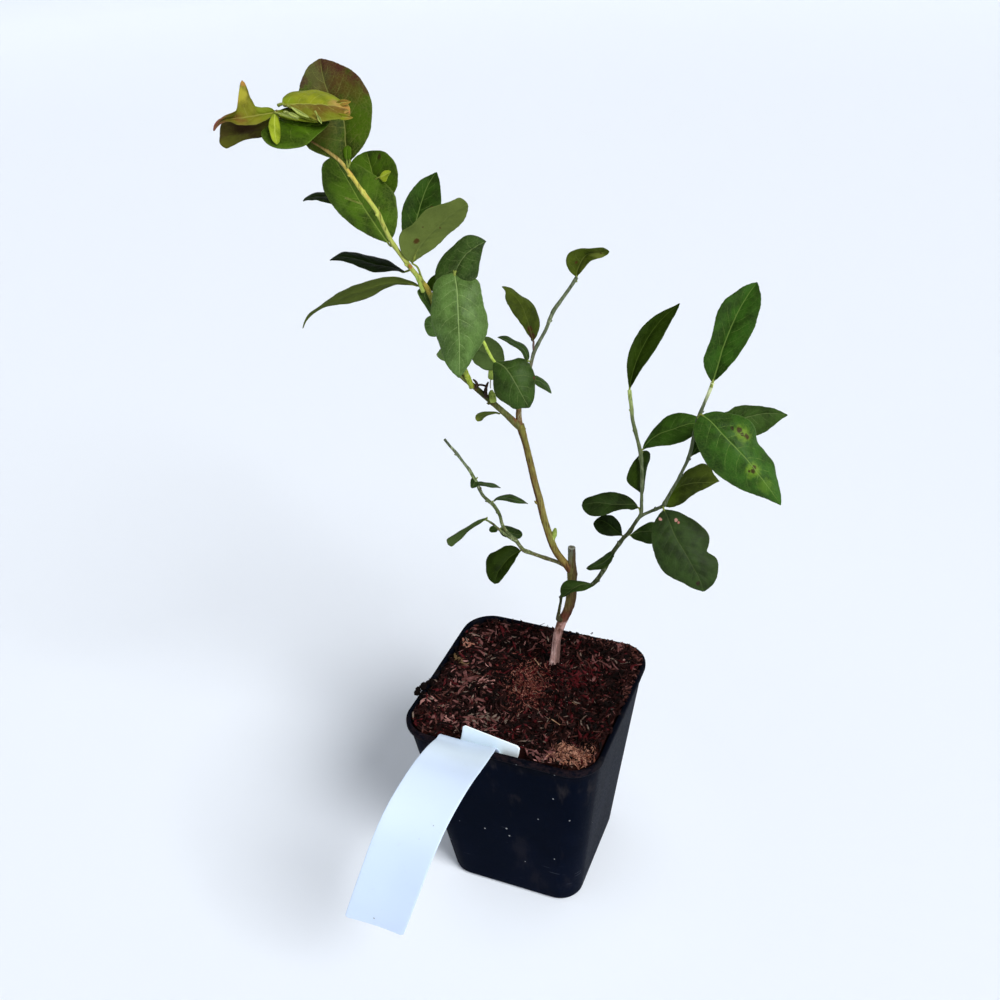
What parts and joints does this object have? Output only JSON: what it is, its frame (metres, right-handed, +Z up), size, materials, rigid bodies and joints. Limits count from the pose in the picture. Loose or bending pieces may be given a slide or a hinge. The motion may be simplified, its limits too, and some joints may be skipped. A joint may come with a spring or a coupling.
{
  "type": "potted blueberry bush",
  "caption": "Young blueberry bush with a short forked trunk and a few leafy shoots, built together with its square nursery pot, potting soil and blank looped label",
  "frame": {"origin": "centre of the flat underside of the pot", "axes": "+Z up; pot sides run along X and Y; the label hangs over the -Y side and the trunk stands nearer the +Y side; millimetre model, metre record"},
  "size_m": [0.1922, 0.1744, 0.3678],
  "materials": {
    "pot": "satin near-black thin plastic",
    "soil": "loose fibrous peat",
    "label": "smooth white plastic, blank",
    "bark": "thin flaky bark",
    "green_wood": "smooth olive young wood",
    "leaves": "semi-gloss leaf",
    "young_leaves": "semi-gloss young leaf, bronze and yellow-green"
  },
  "bodies": {
    "root": {"pot": "pot", "soil": "soil", "label": "label", "trunk": "bark", "main_shoot_lower": "green_wood", "main_shoot_middle": "green_wood", "main_shoot_upper": "green_wood", "side_shoot": "green_wood", "centre_twig": "green_wood", "left_twig": "green_wood", "left_twig_fork": "green_wood", "right_shoot": "green_wood", "right_fork_inner": "green_wood", "right_fork_outer": "green_wood", "leaves_top": "leaves", "leaves_tip": "young_leaves", "leaves_upper_stem": "leaves", "leaves_upper_back": "leaves", "leaves_upper_right": "leaves", "leaves_upper_left": "leaves", "leaves_centre": "leaves", "leaves_centre_low": "leaves", "leaves_centre_back": "leaves", "leaves_fork": "leaves", "leaves_side_low": "leaves", "leaves_side_mid": "leaves", "leaves_side_tip": "leaves", "leaves_left_fork_tip": "leaves", "leaves_left_low": "leaves", "leaves_left_mid": "leaves", "leaves_left_high": "leaves", "leaves_left_tip": "leaves", "leaves_right_high_left": "leaves", "leaves_right_high_right": "leaves", "leaves_right_mid": "leaves", "leaves_right_outer": "leaves", "leaves_right_outer_low": "leaves", "leaves_right_low": "leaves", "leaves_right_knee": "leaves", "leaves_right_inner": "leaves", "leaves_right_inner_low": "leaves", "leaves_trunk_side": "leaves"}
  },
  "joints": []
}
